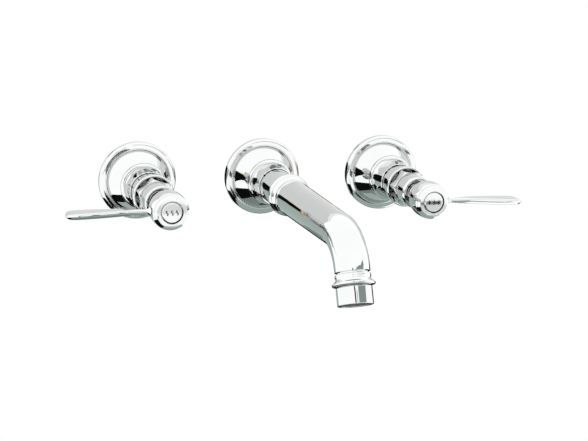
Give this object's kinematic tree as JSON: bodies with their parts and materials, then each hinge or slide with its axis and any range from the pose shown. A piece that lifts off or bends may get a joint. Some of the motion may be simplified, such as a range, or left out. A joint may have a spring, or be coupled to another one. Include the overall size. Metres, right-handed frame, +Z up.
{
  "type": "wall-mounted basin faucet",
  "caption": "Wall-mounted three-hole basin faucet: bell escutcheons, a fixed bent spout with an aerator and quarter-turn lever handles on ball hubs.",
  "frame": {"origin": "on the finished wall plane, on the spout's axis", "axes": "+X from the hot valve to the cold valve (the user's right), +Y into the wall, +Z up; the spout points along -Y"},
  "size_m": [0.3485, 0.2937, 0.0767],
  "materials": {
    "polished_chrome": "mirror-polished chrome plate",
    "brass": "machined raw brass",
    "copper_tube": "drawn copper tube",
    "steel": "stainless screw",
    "rubber": "moulded black rubber",
    "foam": "closed-cell foam",
    "ceramic": "lapped ceramic",
    "nylon": "moulded dark plastic"
  },
  "bodies": {
    "root": {"hot_escutcheon": "polished_chrome", "hot_wall_gasket": "foam", "hot_sleeve": "polished_chrome", "hot_bonnet_nut": "polished_chrome", "hot_stem_collar": "polished_chrome", "hot_stem_gland": "brass", "hot_stem_oring": "rubber", "hot_extension_barrel": "brass", "hot_valve_body": "brass", "hot_cartridge_body": "brass", "hot_fixed_disc": "ceramic", "hot_seat_gasket": "rubber", "hot_crossover_pipe": "copper_tube", "hot_union_nut": "brass", "hot_olive": "brass", "cold_escutcheon": "polished_chrome", "cold_wall_gasket": "foam", "cold_sleeve": "polished_chrome", "cold_bonnet_nut": "polished_chrome", "cold_stem_collar": "polished_chrome", "cold_stem_gland": "brass", "cold_stem_oring": "rubber", "cold_extension_barrel": "brass", "cold_valve_body": "brass", "cold_cartridge_body": "brass", "cold_fixed_disc": "ceramic", "cold_seat_gasket": "rubber", "cold_crossover_pipe": "copper_tube", "cold_union_nut": "brass", "cold_olive": "brass", "spout_escutcheon": "polished_chrome", "spout_wall_gasket": "foam", "spout_sleeve": "polished_chrome", "spout_ring": "polished_chrome", "spout_tube": "polished_chrome", "spout_adapter": "brass", "spout_oring": "rubber", "spout_nipple": "brass", "outlet_collar": "polished_chrome", "aerator_shell": "polished_chrome", "aerator_insert": "nylon", "aerator_gasket": "rubber", "mixing_tee": "brass"},
    "hot_handle": {"hot_handle_hub": "polished_chrome", "hot_lever": "polished_chrome", "hot_index_cap": "polished_chrome", "hot_handle_screw": "steel", "hot_spindle_extension": "brass", "hot_cartridge_spindle": "brass", "hot_moving_disc": "ceramic"},
    "cold_handle": {"cold_handle_hub": "polished_chrome", "cold_lever": "polished_chrome", "cold_index_cap": "polished_chrome", "cold_handle_screw": "steel", "cold_spindle_extension": "brass", "cold_cartridge_spindle": "brass", "cold_moving_disc": "ceramic"}
  },
  "joints": [
    {"name": "hot_handle_turn", "type": "hinge", "parent": "root", "child": "hot_handle", "pos_m": [-0.1, -0.106, 0], "axis": [0, -1, 0], "range_deg": [-0.9, 89.1]},
    {"name": "cold_handle_turn", "type": "hinge", "parent": "root", "child": "cold_handle", "pos_m": [0.1, -0.106, 0], "axis": [0, 1, 0], "range_deg": [-2.5, 87.5]}
  ]
}
